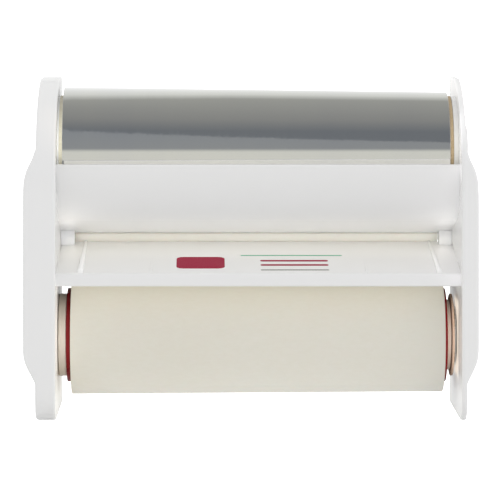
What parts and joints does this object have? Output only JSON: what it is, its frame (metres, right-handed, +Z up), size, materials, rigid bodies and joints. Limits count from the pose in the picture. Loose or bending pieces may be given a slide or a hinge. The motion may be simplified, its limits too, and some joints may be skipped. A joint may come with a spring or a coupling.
{
  "type": "adhesive applicator refill cartridge",
  "caption": "Refill cartridge: a film roll above an adhesive liner roll between moulded side plates, with a feed tray and curved guard leading paper into the slot.",
  "frame": {"origin": "centre of the footprint, on the plane the two side plates stand on", "axes": "+X along the rolls to the right as the paper is fed, +Y to the back, +Z up"},
  "size_m": [0.1526, 0.068, 0.1144],
  "materials": {
    "white_plastic": "moulded, satin",
    "hub_plastic": "moulded, natural",
    "film": "tightly wound film, mirror-like",
    "liner_paper": "silicone coated, satin",
    "core_board": "spiral wound board",
    "kraft_board": "kraft board",
    "cream_board": "pale board",
    "red_plastic": "moulded, satin",
    "felt": "pressed felt",
    "spring_steel": "bright rolled strip"
  },
  "bodies": {
    "frame": {"left_side_plate": "white_plastic", "right_side_plate": "white_plastic", "feed_tray": "white_plastic", "film_guard": "white_plastic", "edge_block_left": "white_plastic", "edge_block_right": "white_plastic", "film_brake_spring": "spring_steel", "film_brake_felt": "felt", "liner_brake_spring": "spring_steel", "liner_brake_washer": "felt", "film_web": "film", "liner_web": "liner_paper", "pull_tab": "cream_board"},
    "film_roll": {"film_winding": "film", "film_core": "core_board", "film_hub_left": "white_plastic", "film_hub_right": "white_plastic", "film_washer_left": "cream_board", "film_washer_right": "kraft_board"},
    "liner_roll": {"liner_winding": "liner_paper", "liner_core": "core_board", "liner_hub_left": "hub_plastic", "liner_hub_right": "hub_plastic", "red_flange_left": "red_plastic", "red_flange_right": "red_plastic"}
  },
  "joints": [
    {"name": "film_roll_spin", "type": "hinge", "parent": "frame", "child": "film_roll", "pos_m": [0, -0.002, 0.0904], "axis": [1, 0, 0], "continuous": true},
    {"name": "liner_roll_spin", "type": "hinge", "parent": "frame", "child": "liner_roll", "pos_m": [0, -0.002, 0.0264], "axis": [1, 0, 0], "continuous": true}
  ],
  "couplings": [
    {"joint": "liner_roll_spin", "follows": "film_roll_spin", "ratio": -1.0138}
  ]
}
